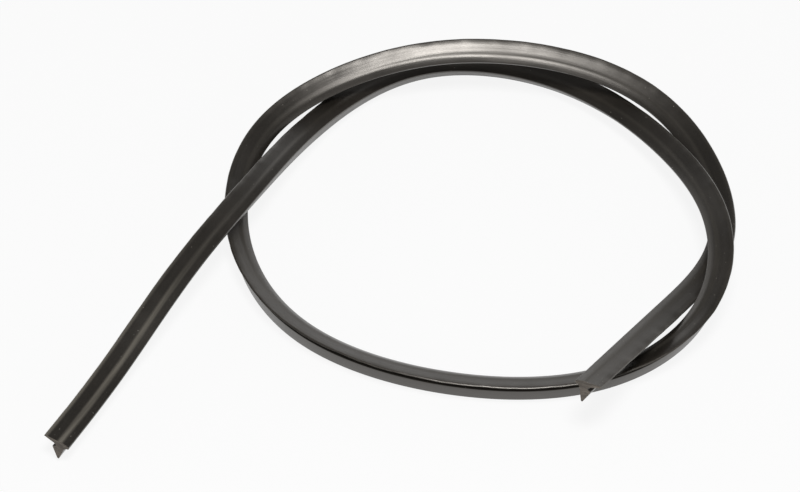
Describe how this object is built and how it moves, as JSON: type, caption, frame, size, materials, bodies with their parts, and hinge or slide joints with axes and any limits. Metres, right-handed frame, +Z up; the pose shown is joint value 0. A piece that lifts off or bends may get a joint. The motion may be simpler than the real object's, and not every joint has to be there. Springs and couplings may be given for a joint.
{
  "type": "oven door gasket",
  "caption": "Barbed rubber sealing strip for an oven door, lying in a loose woven coil; its dart pushes into the groove round the door frame.",
  "frame": {"origin": "middle of the coil's outline, on the surface that it lies on", "axes": "+Z up from that surface, +X along the coil's longest side, the long free tail in -X and -Y"},
  "size_m": [0.3024, 0.275, 0.0318],
  "materials": {
    "seal_rubber": "satin black heat-proof rubber with fine die lines and a little dust"
  },
  "bodies": {
    "root": {"sealing_strip": "seal_rubber"}
  },
  "joints": []
}
